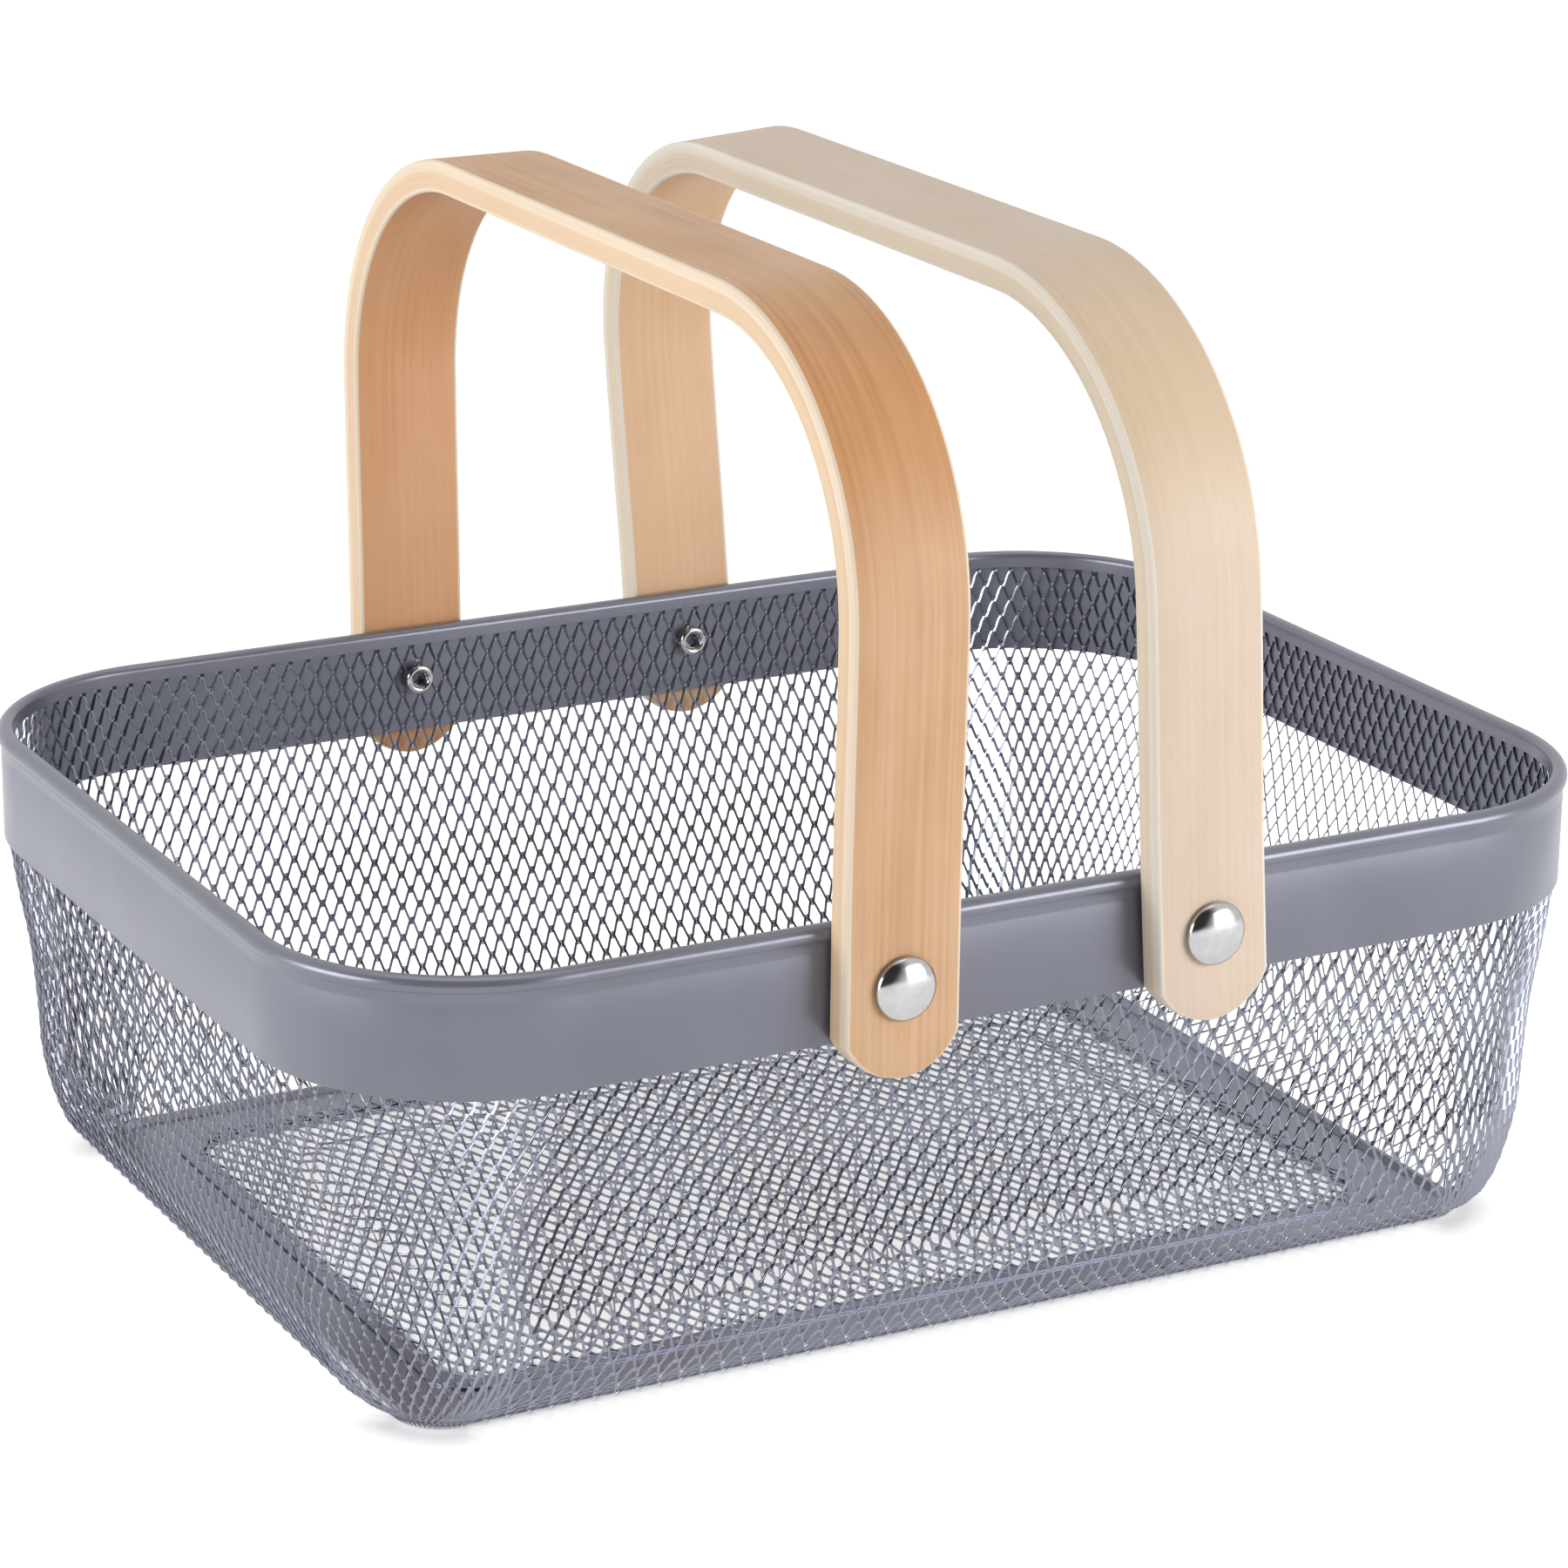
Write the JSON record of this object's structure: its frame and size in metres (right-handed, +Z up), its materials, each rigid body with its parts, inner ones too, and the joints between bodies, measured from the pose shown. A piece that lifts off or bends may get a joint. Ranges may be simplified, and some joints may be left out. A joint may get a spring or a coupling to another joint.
{
  "type": "wire mesh basket with swing handles",
  "caption": "Open rectangular metal mesh basket with round corners, a sheet rim band and two bentwood swing handles on domed rivets.",
  "frame": {"origin": "centre of the base, on the surface that the basket stands on", "axes": "+X along the long side, +Y towards the back long side along the handles' axes, +Z up"},
  "size_m": [0.296, 0.2432, 0.217],
  "materials": {
    "band_paint": "satin grey paint over sheet steel",
    "mesh_paint": "satin grey paint over expanded steel mesh",
    "tan_wood": "clear matt finish over warm bentwood",
    "pale_wood": "clear matt finish over pale bentwood",
    "rivet_metal": "polished nickel plate"
  },
  "bodies": {
    "basket": {"rim_band": "band_paint", "wall_mesh": "mesh_paint", "foot_ring": "band_paint", "floor_mesh": "mesh_paint", "left_front_rivet": "rivet_metal", "left_back_rivet": "rivet_metal", "right_front_rivet": "rivet_metal", "right_back_rivet": "rivet_metal"},
    "left_handle": {"left_handle": "tan_wood"},
    "right_handle": {"right_handle": "pale_wood"}
  },
  "joints": [
    {"name": "left_handle_swing", "type": "hinge", "parent": "basket", "child": "left_handle", "pos_m": [-0.035, 0, 0.0885], "axis": [0, -1, 0], "range_deg": [-10, 113]},
    {"name": "right_handle_swing", "type": "hinge", "parent": "basket", "child": "right_handle", "pos_m": [0.035, 0, 0.0885], "axis": [0, 1, 0], "range_deg": [-6, 117]}
  ]
}
